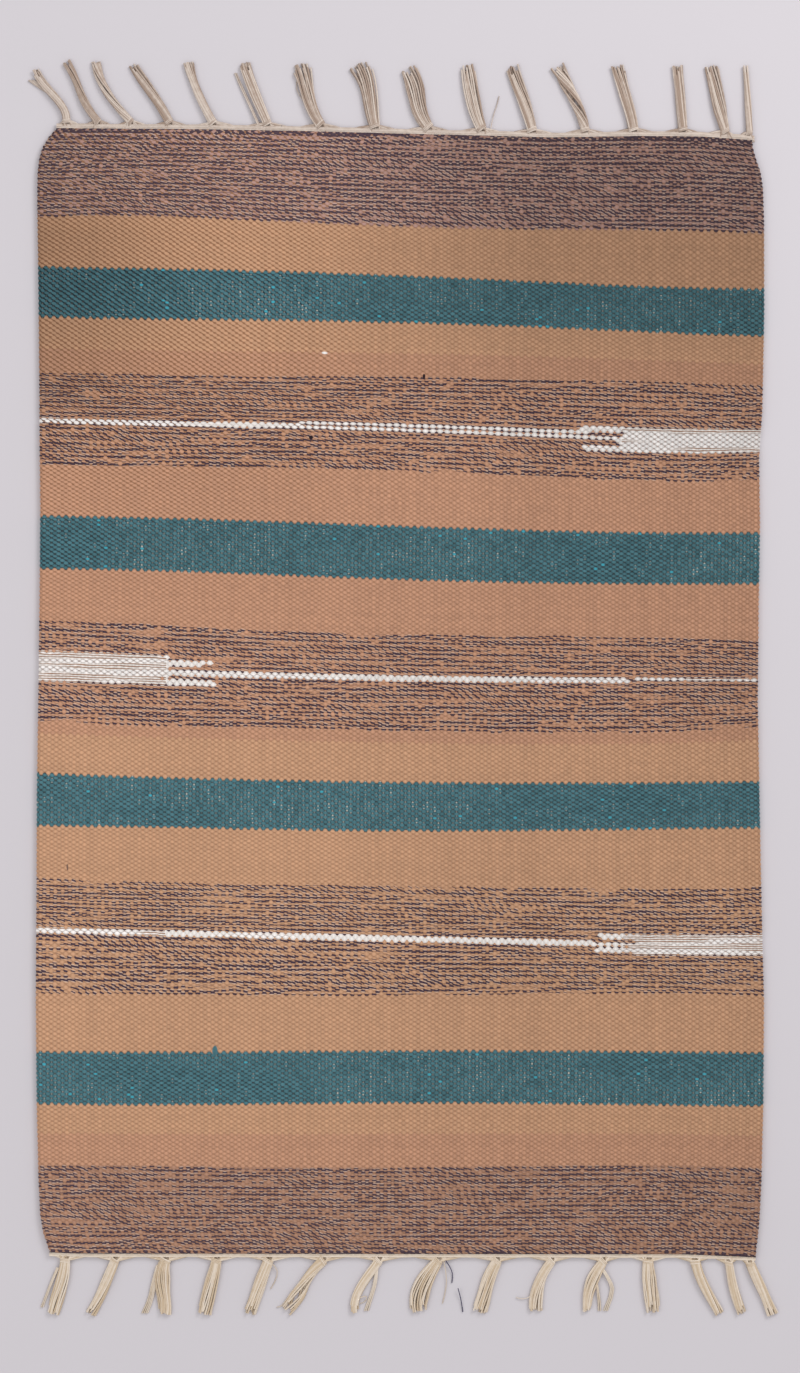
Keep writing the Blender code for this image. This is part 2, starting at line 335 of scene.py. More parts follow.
# %% Shader arithmetic
class Signal:
    """A shader value that can be added, multiplied and compared."""

    def __init__(self, tree, socket):
        self.tree = tree
        self.socket = socket

    def node(self, kind, settings, *values):
        """Adds a node, sets it up, feeds its inputs in order, and returns it."""
        made = self.tree.nodes.new(kind)
        for key, value in settings.items():
            setattr(made, key, value)
        for place_in, value in zip(made.inputs, values):
            self.feed(place_in, value)
        return made

    def feed(self, socket, value):
        """Links a signal to the input, or sets a constant on it."""
        if isinstance(value, Signal):
            self.tree.links.new(value.socket, socket)
        elif value is not None:
            socket.default_value = value

    def math(self, operation, *values):
        made = self.node("ShaderNodeMath", {"operation": operation}, *values)
        return Signal(self.tree, made.outputs[0])

    def __add__(self, other):
        return self.math("ADD", self, other)

    def __radd__(self, other):
        return self.math("ADD", other, self)

    def __sub__(self, other):
        return self.math("SUBTRACT", self, other)

    def __rsub__(self, other):
        return self.math("SUBTRACT", other, self)

    def __mul__(self, other):
        return self.math("MULTIPLY", self, other)

    def __rmul__(self, other):
        return self.math("MULTIPLY", other, self)

    def __gt__(self, other):
        return self.math("GREATER_THAN", self, other)

    def __lt__(self, other):
        return self.math("LESS_THAN", self, other)

    def __abs__(self):
        return self.math("ABSOLUTE", self)

    def floor(self):
        return self.math("FLOOR", self)

    def round(self):
        return self.math("ROUND", self)

    def sin(self):
        return self.math("SINE", self)

    def cos(self):
        return self.math("COSINE", self)

    def sqrt(self):
        return self.math("SQRT", self.math("MAXIMUM", self, 0.0))

    def most(self, other):
        return self.math("MAXIMUM", self, other)

    def least(self, other):
        return self.math("MINIMUM", self, other)

    def ramp(self, start, end):
        """0 below start, 1 above end, and a smooth rise between."""
        made = self.node(
            "ShaderNodeMapRange", {"interpolation_type": "SMOOTHSTEP"}, self, start, end, 0.0, 1.0
        )
        return Signal(self.tree, made.outputs[0])

    def between(self, start, end):
        """1 where the value lies between start and end, and 0 elsewhere."""
        return (self > start) * (self < end)

    def vector(self, x, y, z=0.0):
        made = self.node("ShaderNodeCombineXYZ", {}, x, y, z)
        return Signal(self.tree, made.outputs[0])

    def noise(self, vector, scale, detail=1.0, rough=0.5):
        """Smooth noise between about 0.2 and 0.8."""
        made = self.node("ShaderNodeTexNoise", {"noise_dimensions": "3D"})
        self.feed(made.inputs["Vector"], vector)
        made.inputs["Scale"].default_value = scale
        made.inputs["Detail"].default_value = detail
        made.inputs["Roughness"].default_value = rough
        return Signal(self.tree, made.outputs[0])

    def dice(self, vector):
        """An even random number for each whole-number place."""
        made = self.node("ShaderNodeTexWhiteNoise", {"noise_dimensions": "3D"}, vector)
        return Signal(self.tree, made.outputs["Value"])

    def mix(self, share, first, second):
        """Two colours mixed by a share."""
        made = self.tree.nodes.new("ShaderNodeMix")
        made.data_type = "RGBA"
        self.feed(made.inputs["Factor"], share)
        for place_in, value in zip([i for i in made.inputs if i.type == "RGBA"], (first, second)):
            self.feed(place_in, value)
        return Signal(self.tree, [o for o in made.outputs if o.type == "RGBA"][0])

    def scaled(self, colour, factor):
        """A colour made lighter or darker."""
        made = self.node("ShaderNodeVectorMath", {"operation": "SCALE"})
        self.feed(made.inputs[0], colour)
        self.feed(made.inputs["Scale"], factor)
        return Signal(self.tree, made.outputs[0])


operations = [item for item in vars(Signal).values() if callable(item)]
print("operations of a signal:", len(operations))

# %% [markdown]
# Colours are given as they are seen on a screen. Every material here is matt, so it
# has a roughness and little shine.

# %% Colours and materials
SHINE = 0.2


def srgb(red, green, blue):
    """A colour as seen on screen, from 0 to 255, as the linear colour that light needs."""
    def linear(value):
        value = value / 255
        return value / 12.92 if value <= 0.04045 else ((value + 0.055) / 1.055) ** 2.4

    return (linear(red), linear(green), linear(blue), 1.0)


def new_material(name, roughness):
    """A material with its shader, and a signal to start formulas from."""
    material = bpy.data.materials.new(name)
    material.use_nodes = True
    shader = material.node_tree.nodes["Principled BSDF"]
    shader.inputs["Roughness"].default_value = roughness
    shader.inputs["Specular IOR Level"].default_value = SHINE
    return material, shader, Signal(material.node_tree, None)


print("middle grey is", round(srgb(128, 128, 128)[0], 3), "of white")

# %% [markdown]
# ## Stripes, inlays and dyes
#
# The stripes are a short table of picks: each row gives the pick after its last one.
# The white inlay has a row for each group of picks, with the first and last column
# that it crosses, its top pick and its number of picks. The marks are small faults of
# the real rug: a slub, a tuft, two dark thread ends and a hair.

# %% Stripes and inlays
Stripe = namedtuple("Stripe", "last kind")
STRIPES = (
    Stripe(40, "mottled"),
    Stripe(62, "tan"),
    Stripe(82, "teal"),
    Stripe(105, "tan"),
    Stripe(146, "mottled"),
    Stripe(169, "tan"),
    Stripe(192, "teal"),
    Stripe(216, "tan"),
    Stripe(258, "mottled"),
    Stripe(280, "tan"),
    Stripe(301, "teal"),
    Stripe(326, "tan"),
    Stripe(373, "mottled"),
    Stripe(397, "tan"),
    Stripe(420, "teal"),
    Stripe(447, "tan"),
    Stripe(485, "mottled"),
)

Inlay = namedtuple("Inlay", "first last top rows")
INLAYS = (
    Inlay(-2, 72, 127, 2),
    Inlay(70, 152, 126, 1),
    Inlay(70, 152, 128, 1),
    Inlay(149, 162, 124, 2),
    Inlay(149, 162, 128, 1),
    Inlay(149, 162, 132, 2),
    Inlay(160, 201, 124, 10),
    Inlay(-2, 35, 229, 12),
    Inlay(33, 47, 231, 2),
    Inlay(33, 48, 239, 2),
    Inlay(33, 163, 235, 2),
    Inlay(163, 201, 235, 1),
    Inlay(-2, 153, 349, 2),
    Inlay(153, 165, 346, 2),
    Inlay(153, 165, 350, 1),
    Inlay(153, 165, 352, 2),
    Inlay(163, 201, 346, 9),
)

# The colours named _SHADE are painted shade: each yarn's colour where its stitches dive between
# the threads. TAN_SHADE also colours the fine tan lines of the inlay, and DARK_SHADE two dark
# thread ends among the marks.
TAN = srgb(198, 153, 121)
TAN_ROSY = srgb(198, 149, 121)
TAN_SHADE = srgb(150, 108, 80)
ROSE = srgb(180, 142, 132)
EARTH = srgb(176, 134, 112)
TEAL = srgb(75, 116, 125)
TEAL_SHADE = srgb(12, 32, 42)
DARK = srgb(71, 55, 67)
DARK_SHADE = srgb(40, 28, 36)
DARK_SOFT = srgb(79, 62, 71)
PALE = srgb(206, 186, 172)
WHITE = srgb(245, 239, 236)
WHITE_FLAT = srgb(235, 228, 223)
WHITE_SHADE = srgb(124, 96, 82)
CREAM = srgb(216, 212, 200)
CYAN = srgb(60, 150, 168)
HAIR = srgb(118, 92, 80)

Mark = namedtuple("Mark", "column pick wide tall colour")
MARKS = (
    Mark(78.0, 94.7, 0.8, 0.55, WHITE),
    Mark(48.6, 396.0, 0.75, 2.2, TEAL),
    Mark(74.6, 132.2, 0.6, 0.8, DARK_SHADE),
    Mark(105.3, 104.0, 0.35, 1.0, DARK_SHADE),
    Mark(8.3, 319.6, 0.25, 1.4, HAIR),
)
print("stripes:", len(STRIPES), "inlay rows:", len(INLAYS), "marks:", len(MARKS))

# %% [markdown]
# ## Which yarn is seen
#
# At any spot two picks compete. One rises over the warp where the other dives, and
# whichever stands higher is seen. That one rule gives the lens-shaped stitches, the
# brick pattern and the scalloped edges of the stripes. The white inlay is a thicker
# yarn, so it stands a little higher than the picks around it.

# %% Stitches
YARN_ROUND = 1.12
YARN_SWING = 0.42
INLAY_LIFT = 0.42
RAGGED_ENDS = 3.0
INSIDE = (36, 60)
WANDER_DOWN = 1.0
WANDER_ACROSS = 0.3

material, shader, at = new_material("kilim_weave", 0.92)
uv = at.node("ShaderNodeUVMap", {"uv_map": "Weave"})
parts = at.node("ShaderNodeSeparateXYZ", {}, Signal(at.tree, uv.outputs[0]))
u = Signal(at.tree, parts.outputs[0])
v = Signal(at.tree, parts.outputs[1])
v = v + (at.noise(at.vector(u * 0.25, v * 0.35), 1.0, 2.0) - 0.5) * WANDER_DOWN
u = u + (at.noise(at.vector(u * 0.1, v * 0.3, 7.0), 1.0) - 0.5) * WANDER_ACROSS


def stitch_of(pick):
    """The column at the middle of the stitch that a pick makes here."""
    return ((u - pick) * 0.5).round() * 2.0 + pick


def inlaid(pick):
    """1 where a pick is inlay yarn, and 0 elsewhere. The ends of its blocks are ragged."""
    stitch = stitch_of(pick)
    ragged = (at.dice(at.vector(0.0, pick, 9.0)) - 0.5) * RAGGED_ENDS
    found = None
    for inlay in INLAYS:
        start = stitch - ragged if inlay.first > INSIDE[0] else stitch
        stop = stitch - ragged if inlay.last < INSIDE[1] else stitch
        here = (start > inlay.first) * (stop < inlay.last)
        here = here * pick.between(inlay.top - 0.5, inlay.top + inlay.rows - 0.5)
        found = here if found is None else found.most(here)
    return found


row = v.floor()
below = v - row
rest = 1.0 - below
white_above = inlaid(row)
white_below = inlaid(row + 1.0)
swing = ((u + row) * math.pi).cos() * YARN_SWING
first_height = swing + (YARN_ROUND**2 - below * below).sqrt() + white_above * INLAY_LIFT
second_height = (YARN_ROUND**2 - rest * rest).sqrt() - swing + white_below * INLAY_LIFT
second = second_height > first_height
pick = row + second
across_yarn = below - second
stitch = stitch_of(pick)
along_yarn = u - stitch
white = white_above + second * (white_below - white_above)
print("nodes that choose the stitch:", len(material.node_tree.nodes))

# %% [markdown]
# Every stitch and every pick throws its own dice, so that no two are quite alike. The
# stripe is read a little softly, partly from the pick and partly from the spot itself.

# %% Bands
chance = at.dice(at.vector(stitch, pick, 3.0))
chance_two = at.dice(at.vector(stitch, pick, 11.0))
chance_pick = at.dice(at.vector(0.0, pick, 5.0))

SOFT_SHARE = 0.4
seen_at = pick * (1.0 - SOFT_SHARE) + v * SOFT_SHARE
bands = {"mottled": None, "teal": None}
first_pick = -2
for stripe in STRIPES:
    inside = seen_at.between(first_pick - 0.5, stripe.last - 0.5)
    if stripe.kind in bands:
        so_far = bands[stripe.kind]
        bands[stripe.kind] = inside if so_far is None else so_far + inside
    first_pick = stripe.last
first_band = seen_at < STRIPES[0].last - 0.5
last_band = seen_at > STRIPES[-2].last - 0.5
cloth_end = (pick < 1.5) + (pick > PICKS - 2.5)
print("picks in stripes:", STRIPES[-1].last)

# %% [markdown]
# The mottled bands are woven with a tan and a dark end side by side. They roll over each
# other along the pick, so the dark one lies now on the upper side of the stitches and
# now on the lower side, and here and there it slants across them or hides.

# %% Dark strand
DARK_HALF = 0.38
DARK_ASIDE = 0.34
ROLL = 2.42

turn = pick * ROLL + (at.noise(at.vector(stitch * 0.05, pick * 0.3, 2.0), 1.0, 2.0) - 0.5) * 9.0
turn = turn + (chance - 0.5) * 0.8
dark_side = (turn.sin() * 2.5).least(1.0).most(-1.0) * DARK_ASIDE
shown = at.noise(at.vector(stitch * 0.05, pick * 0.6, 9.0), 1.0, 2.0)
dark_shown = (shown + first_band * 0.03).ramp(0.33, 0.47) * (chance_two < 0.95)
dark_half = (DARK_HALF + first_band * 0.06) * dark_shown + cloth_end * (chance > 0.3) * 0.5
slant = (at.noise(at.vector(u * 0.03, v * 0.1, 13.0), 1.0, 2.0) - 0.42).most(0.0) * 2.6
from_dark = abs(across_yarn - dark_side - along_yarn * slant) - dark_half
dark = (from_dark < 0.0) * bands["mottled"]
beside_dark = from_dark.between(0.0, 0.3) * bands["mottled"] * (chance > 0.5) * dark_shown
print("nodes with the dark strand:", len(material.node_tree.nodes))

# %% [markdown]
# Each stitch gets painted light on its back and painted shade towards the warp, where it
# dives between the threads. In the corner that the beater pulled askew the stitches lean
# over, and painted shade falls on their lower left sides. Where the inlay's yarn lies
# `flat` its stitches merge and carry less painted shade, and fine tan lines show between
# its picks. Where the teal picks part, the pale warp shows as specks.

# %% Relief and painted shade of a stitch
LEAN = 0.08
CORNER_LEAN = 0.3
LEFT_BLOCK = 35.0
RIGHT_BLOCKS = 160.0

corner = (1.0 - v.ramp(60.0, 250.0)) * (1.0 - u.ramp(25.0, 120.0))
leaning = across_yarn - along_yarn * (LEAN + corner * CORNER_LEAN)
shadow = along_yarn * along_yarn * 1.1 + leaning * leaning * 2.0
# painted shade on the lower left side of each stitch in the corner
shadow = shadow + (across_yarn - along_yarn) * corner * 0.25 + (chance - 0.5) * 0.3
shadow = shadow + (at.noise(at.vector(u * 0.9, v * 1.4, 4.0), 1.0, 1.0) - 0.5) * 0.6
# painted shade: each stitch darker towards its edges, more so in the corner; the same value is the
# bump's height
relief_and_painted_shade = 1.0 - shadow.ramp(0.3, 1.4) * (0.7 + corner * 0.6)

flat = (at.noise(at.vector(u * 0.03, v * 0.35, 6.0), 1.0, 1.0) + v * 0.0006).ramp(0.6, 0.68)
in_block = (u > RIGHT_BLOCKS) + (u < LEFT_BLOCK)
hairline = flat * abs(below - 0.5).ramp(0.3, 0.14) * in_block

gap = abs(along_yarn).ramp(0.3, 0.12) * abs(across_yarn).ramp(0.5, 0.75)
region = at.noise(at.vector(u * 0.02, v * 0.03), 1.0, 1.0).ramp(0.32, 0.66)
speck = gap * bands["teal"] * (0.05 + region * 0.35 * chance + 0.3 * (chance > 0.95))
fleck = (chance_two > 0.992) * (abs(across_yarn) < 0.4) * (abs(along_yarn) < 0.4) * bands["teal"]
print("nodes with the relief:", len(material.node_tree.nodes))

# %% [markdown]
# The dyes are not even either: each rib, pick and stitch has a tone of its own, and two
# lots of the tan yarn are rosier than the rest. `tone` also makes the rug darker to the
# right. It adds painted shade to the upper corners, darkest in a patch at the upper left,
# and painted light down the middle of each rib, with painted shade between the ribs.

# %% Tone
BRIGHTEST = 1.03
FADE = 0.0005
FADE_RIGHT = 0.0007
RIB_PAINTED_LIGHT = 0.075
ROSY_LOSS = 0.055
BROAD_PATCHES = 0.14
STITCH_SHADES = 0.14
PICK_SHADES = 0.05
RIB_SHADES = 0.06
TEAL_SHADES = 0.3

broad = at.noise(at.vector(u * 0.02, v * 0.01), 1.0, 2.0)
rib = at.dice(at.vector(stitch, 0.0, 21.0))
aside = abs(u - 57.0).ramp(0.0, 90.0)
# painted shade: a patch at the upper left of the rug
upper_left_painted_shade = (1.0 - u.ramp(8.0, 48.0)) * v.ramp(28.0, 50.0) * (1.0 - v.ramp(90.0, 150.0))
rosy_lot = pick.between(94.5, 262.5).most(pick > 432.5)

tone = BRIGHTEST - u * FADE - (u - 50.0).most(0.0) * FADE_RIGHT - rosy_lot * ROSY_LOSS
tone = tone + (broad - 0.5) * BROAD_PATCHES + (chance - 0.5) * STITCH_SHADES
tone = tone + (chance_pick - 0.5) * PICK_SHADES + (rib - 0.5) * RIB_SHADES
# painted light down the middle of each rib and painted shade between the ribs, outside the corner
tone = tone + (u * 2.0 * math.pi).cos() * (1.0 - corner) * RIB_PAINTED_LIGHT
tone = tone + (chance_two - 0.5) * bands["teal"] * TEAL_SHADES
# painted shade along the top, stronger towards the upper corners, and the patch at the upper left
tone = tone * (1.0 - (1.0 - v.ramp(40.0, 160.0)) * (0.01 + aside * 0.3) - upper_left_painted_shade * 0.14)
print("nodes with the tone:", len(material.node_tree.nodes))

# %% [markdown]
# Now the colours are laid over each other, from the ground yarn to the marks. The value
# that paints shade into them also drives a fine bump, together with the fibres of the yarn.

# %% Cloth colour
BUMP_STRENGTH = 0.7
BUMP_DEPTH = 0.0005
FIBRE_DEPTH = 0.2

# each yarn is mixed towards its _SHADE colour: painted shade where its stitches dive
tan = at.mix(first_band, at.mix(rosy_lot, TAN, TAN_ROSY), ROSE)
tan = at.mix(relief_and_painted_shade, TAN_SHADE, at.mix(last_band, tan, EARTH))
teal = at.mix(relief_and_painted_shade * 1.4 - 0.4, TEAL_SHADE, TEAL)
dark_yarn = at.mix(first_band + last_band, at.mix(relief_and_painted_shade, DARK_SHADE, DARK), DARK_SOFT)
white_yarn = at.mix(flat * 0.8, at.mix(relief_and_painted_shade, WHITE_SHADE, WHITE), WHITE_FLAT)
white_yarn = at.mix(hairline * 0.95, white_yarn, TAN_SHADE)

colour = at.mix(bands["teal"], tan, teal)
colour = at.mix(fleck, colour, CYAN)
colour = at.mix(speck, colour, CREAM)
colour = at.mix(beside_dark * 0.5, colour, PALE)
colour = at.mix(dark, colour, dark_yarn)
colour = at.mix(white, colour, white_yarn)
for mark in MARKS:
    right_of = (u - mark.column) * (1.0 / mark.wide)
    under = (v - mark.pick) * (1.0 / mark.tall)
    inside = (right_of * right_of + under * under).ramp(1.2, 0.7)
    colour = at.mix(inside, colour, mark.colour)
at.feed(shader.inputs["Base Color"], at.scaled(colour, tone))

fibre = at.noise(at.vector(u * 6.0 + v * 3.0, v * 9.0), 1.0, 2.0)
bump = at.node("ShaderNodeBump", {}, BUMP_STRENGTH, BUMP_DEPTH)
at.feed(bump.inputs["Height"], relief_and_painted_shade + fibre * FIBRE_DEPTH)
at.feed(shader.inputs["Normal"], Signal(at.tree, bump.outputs[0]))
sheet_mesh.materials.append(material)
print("cloth shader nodes:", len(material.node_tree.nodes))

# %% [markdown]
# ## Yarns of the fringe
#
# Every warp end leaves the cloth as a soft cotton yarn. The yarns are drawn sideways
# along the cloth's edge, meet in a knot, and fall out of it as a tassel. The table has
# a row for each tassel, from left to right. `root` is the knot's place, and `third`,
# `far` and `tip` say how far the tassel has strayed sideways by then. `reach` runs from
# the cloth's edge to the tip. `neck` to `hem` are its widths on the way, and `turns`
# says how often it twists around itself.

# %% Tassel tables
Tassel = namedtuple("Tassel", "root third far tip reach neck upper lower hem turns")
TOP_FRINGE = (
    Tassel(-276, -4.5, -16.5, -25.5, 49.0, 6.5, 6.0, 6.0, 6.0, 0.2),
    Tassel(-250, -11.0, -18.0, -26.0, 56.0, 6.5, 6.0, 5.0, 6.5, 0.5),
    Tassel(-223, -14.0, -24.0, -28.5, 56.0, 6.5, 5.5, 6.5, 7.5, 0.8),
    Tassel(-191, -9.0, -20.0, -30.5, 54.5, 7.5, 7.0, 8.0, 7.0, 0.3),
    Tassel(-155, -8.5, -15.5, -20.0, 56.0, 7.5, 7.0, 6.5, 8.5, 0.2),
    Tassel(-110, -7.0, -13.5, -19.0, 56.5, 7.5, 8.5, 9.0, 10.0, 0.1),
    Tassel(-66, -8.0, -12.0, -16.5, 56.5, 8.5, 10.5, 12.5, 15.0, 0.1),
    Tassel(-21, -3.0, -6.0, -13.0, 58.0, 9.0, 12.5, 14.0, 18.0, 0.0),
    Tassel(23, -7.5, -10.5, -16.5, 55.5, 10.0, 15.0, 16.5, 14.0, 0.1),
    Tassel(67, -5.5, -8.5, -11.0, 59.0, 9.0, 12.5, 12.5, 11.5, 0.1),
    Tassel(109, -4.5, -10.5, -16.0, 59.5, 8.5, 10.0, 10.5, 10.5, 0.2),
    Tassel(153, -5.5, -14.0, -23.0, 59.5, 7.5, 8.5, 9.0, 11.5, 1.0),
    Tassel(193, -3.5, -8.5, -13.0, 59.0, 8.5, 10.0, 10.5, 11.5, 0.1),
    Tassel(234, -1.5, -3.0, -4.5, 59.0, 7.5, 8.5, 8.5, 9.0, 0.1),
    Tassel(269, -4.5, -8.0, -11.5, 60.5, 7.5, 11.5, 10.5, 10.5, 0.2),
    Tassel(289, -1.0, -2.0, -3.5, 62.0, 5.0, 5.0, 4.0, 4.0, 0.3),
)
BOTTOM_FRINGE = (
    Tassel(-277, -2.0, -6.0, -10.0, 51.0, 8.5, 11.5, 11.5, 10.5, 0.1),
    Tassel(-236, -5.5, -12.0, -20.0, 50.5, 7.5, 8.5, 8.0, 8.0, 0.2),
    Tassel(-194, -2.5, -1.0, -0.5, 50.5, 9.0, 15.0, 11.5, 10.5, 0.0),
    Tassel(-152, -3.0, -6.5, -9.5, 50.5, 8.5, 11.5, 12.5, 13.0, 0.1),
    Tassel(-109, -5.5, -10.5, -15.5, 50.5, 8.5, 10.5, 10.0, 10.0, 0.1),
    Tassel(-64, -12.0, -20.5, -30.5, 48.0, 8.5, 7.5, 10.5, 10.0, 0.6),
    Tassel(-18, -10.0, -18.0, -19.0, 49.0, 7.5, 7.5, 7.0, 6.5, 0.1),
    Tassel(31, -9.5, -15.5, -15.5, 48.0, 8.5, 14.0, 16.5, 14.0, 0.0),
    Tassel(80, -6.5, -10.5, -14.5, 48.5, 8.5, 12.0, 11.5, 11.5, 0.1),
    Tassel(125, -8.5, -12.5, -12.5, 48.0, 7.5, 8.5, 10.5, 10.5, 0.2),
    Tassel(168, -8.5, -12.5, -13.5, 48.0, 7.5, 11.5, 9.5, 6.5, 0.1),
    Tassel(205, 1.0, 3.0, 4.5, 48.5, 8.5, 12.5, 12.5, 11.5, 0.1),
    Tassel(244, 5.0, 12.5, 20.5, 49.0, 8.5, 8.5, 7.5, 7.5, 0.2),
    Tassel(272, 2.5, 6.0, 11.0, 48.0, 6.5, 7.5, 7.5, 7.5, 0.1),
    Tassel(290, 6.0, 12.5, 18.5, 48.0, 7.5, 8.5, 7.5, 9.0, 0.1),
)
print("tassels:", len(TOP_FRINGE), "and", len(BOTTOM_FRINGE))

# %% [markdown]
# A few threads have come away from their tassels. Each row below is a small lock of
# `yarns` threads through four points of the drawing. Two of them are dark weft.

# %% Loose threads
Loose = namedtuple("Loose", "yarns dye ax ay bx by cx cy dx dy")
COTTON, INDIGO = 0.0, 2.0
TOP_LOOSE = (
    Loose(4, COTTON, -276, 479, -283, 491, -294, 498, -305, 506),
    Loose(2, COTTON, -117, 469, -125, 487, -132, 502, -136, 512),
    Loose(1, COTTON, -73, 479, -82, 491, -87, 501, -84, 512),
    Loose(1, COTTON, 75, 466, 77, 477, 80, 485, 82, 493),
    Loose(1, INDIGO, -98, 468, -97, 467, -96, 466, -95, 463),
)
BOTTOM_LOOSE = (
    Loose(2, COTTON, -283, -476, -289, -490, -293, -501, -296, -509),
    Loose(4, COTTON, -200, -474, -204, -489, -206, -503, -211, -514),
    Loose(1, COTTON, -108, -471, -101, -476, -102, -486, -107, -494),
    Loose(1, COTTON, -109, -476, -110, -488, -115, -499, -118, -507),
    Loose(1, COTTON, -89, -495, -95, -504, -99, -509, -102, -509),
    Loose(1, COTTON, -78, -489, -77, -496, -80, -503, -83, -507),
    Loose(3, COTTON, -19, -476, -20, -488, -24, -501, -28, -512),
    Loose(1, COTTON, -33, -501, -27, -498, -28, -505, -33, -506),
    Loose(1, COTTON, 36, -470, 39, -482, 38, -496, 35, -506),
    Loose(1, INDIGO, 38, -470, 42, -476, 44, -483, 43, -489),
    Loose(1, INDIGO, 48, -493, 50, -500, 51, -507, 52, -513),
    Loose(1, COTTON, 109, -499, 105, -502, 99, -502, 96, -501),
    Loose(3, COTTON, 166, -475, 173, -486, 177, -496, 170, -512),
    Loose(2, COTTON, 163, -490, 164, -499, 165, -506, 165, -512),
    Loose(1, INDIGO, 252, -463, 253, -465, 253, -467, 253, -468),
)
print("loose locks:", len(TOP_LOOSE) + len(BOTTOM_LOOSE))

# %% [markdown]
# A tassel leans and strays, so its middle line is a smooth curve through its table row.
# A yarn is one smooth line with a round section, never lower than the floor.

# %% Lines of the fringe
Strip = namedtuple("Strip", "side start end width seed")
TOP_STRIP = Strip(1, -284.0, 293.0, 3.4, 5)
BOTTOM_STRIP = Strip(-1, -290.0, 294.0, 2.6, 8)

YARN_RADIUS = 0.7
YARNS = 16
ROOT_OUT = 6.2
LANE_GROWTH = 3.4
WRAPS = 3
BODY_POINTS = 11
TUCKED_IN = 1.2
CROSSES_FROM = 6.0
KNOT_SIDE = 3.6
RAGGED_TIPS = 0.16
SHADES = (0.0, 0.3, 0.6, 1.0)
THIRDS = (0.0, 1 / 3, 2 / 3, 1.0)


def centre_offset(tassel, along):
    """How far a tassel's middle line lies to the right of its root."""
    return float(through(THIRDS, (0.0, tassel.third, tassel.far, tassel.tip), np.float64(along)))


def half_width(tassel, along):
    return np.interp(along, THIRDS, (tassel.neck, tassel.upper, tassel.lower, tassel.hem)) / 2


def middle_line(tassel, side, along):
    """A point of the middle line, and the direction in which it runs there."""
    base = float(end_edge(side, tassel.root))
    run = tassel.reach - ROOT_OUT
    x = tassel.root + centre_offset(tassel, along)
    y = base + side * (ROOT_OUT + run * along)
    ahead = centre_offset(tassel, along + 0.02) - centre_offset(tassel, along - 0.02)
    direction = Vector((ahead, side * run * 0.04)).normalized()
    return Vector((x, y)), direction


def add_yarn(curves, dye, points, radius=1.0):
    """Adds one yarn to the curve of its colour, as a smooth line through the points."""
    spline = curves[dye].splines.new("NURBS")
    spline.points.add(len(points) - 1)
    for handle, (x, y, z) in zip(spline.points, points):
        handle.co = (*place(x, y, max(z, YARN_RADIUS * radius)), 1.0)
        handle.radius = radius
    spline.order_u = 3
    spline.use_endpoint_u = True
    spline.resolution_u = 2


print("yarns in a tassel:", YARNS, "of", round(2 * YARN_RADIUS, 1), "mm")

# %% [markdown]
# Inside a tassel the yarns keep their places in a flattened bundle, which turns slowly
# and settles onto the floor. Their tips are ragged. The loose threads lie on the floor.

# %% Yarns of a tassel
def tassel_yarns(curves, tassel, strip, start, end, chance):
    """The yarns of one tassel, from the cloth's edge through the knot to the tips."""
    side = strip.side
    reach = max(abs(start - tassel.root), abs(end - tassel.root))
    for number in range(YARNS):
        from_x = start + (number + 0.5) / YARNS * (end - start)
        edge = float(end_edge(side, from_x))
        toward = math.copysign(1.0, tassel.root - from_x)
        apart = abs(from_x - tassel.root)
        lane = strip.width + LANE_GROWTH * apart / reach
        lift = 0.9 + 0.8 * (number % 2)
        points = [(from_x, edge - side * TUCKED_IN, 2.2), (from_x, edge + side * 0.7, 1.8)]
        if apart > CROSSES_FROM:
            points.append((from_x + toward * 1.8, edge + side * strip.width, lift))
            near_x = tassel.root - toward * KNOT_SIDE
            near_edge = float(end_edge(side, near_x))
            points.append((near_x, near_edge + side * lane, lift + 0.4))
        aside = (2 * (number * 7 % YARNS) + 1) / YARNS - 1.0
        angle = math.acos(aside) * (1.0 if number % 2 else -1.0)
        ring = chance.uniform(0.85, 1.0)
        wave = chance.uniform(0.0, 6.28)
        length = 1.0 - RAGGED_TIPS * chance.random() ** 2
        for step in range(BODY_POINTS):
            along = step / (BODY_POINTS - 1) * length
            centre, direction = middle_line(tassel, side, along)
            spin = angle + tassel.turns * math.pi * along * 1.3
            half = half_width(tassel, along) * 1.06 - YARN_RADIUS * 0.6
            lateral = ring * math.cos(spin) + 0.08 * math.sin(wave + 7.0 * along) * along
            deep = 1.75 - 0.75 * along
            z = YARN_RADIUS + deep * (1.0 + ring * math.sin(spin)) * 0.9
            x = centre.x + half * lateral * direction.y * side
            y = centre.y - half * lateral * direction.x * side
            points.append((x, y, z))
        add_yarn(curves, chance.choice(SHADES), points, chance.uniform(0.95, 1.2))


def loose_yarns(curves, row, chance):
    """A small lock of threads lying on the floor."""
    for number in range(row.yarns):
        aside = (number - (row.yarns - 1) / 2) * 1.5
        slim = 0.55 if row.yarns == 1 else 0.9
        start = 2.4 if row.dye == COTTON else 3.0
        heights = (start, 1.6, 1.0, YARN_RADIUS)
        corners = ((row.ax, row.ay), (row.bx, row.by), (row.cx, row.cy), (row.dx, row.dy))
        points = []
        for share, ((x, y), z) in enumerate(zip(corners, heights)):
            points.append((x + aside * (0.5 + share / 6) + chance.uniform(-0.2, 0.2), y, z))
        dye = INDIGO if row.dye == INDIGO else chance.choice(SHADES[:2])
        add_yarn(curves, dye, points, slim)


print("points along a tassel:", BODY_POINTS)

# %% [markdown]
# Each knot is a few turns of yarn, tilted a little. Behind the yarns that cross over to
# their knots lie the pale rows at the cloth's edge.

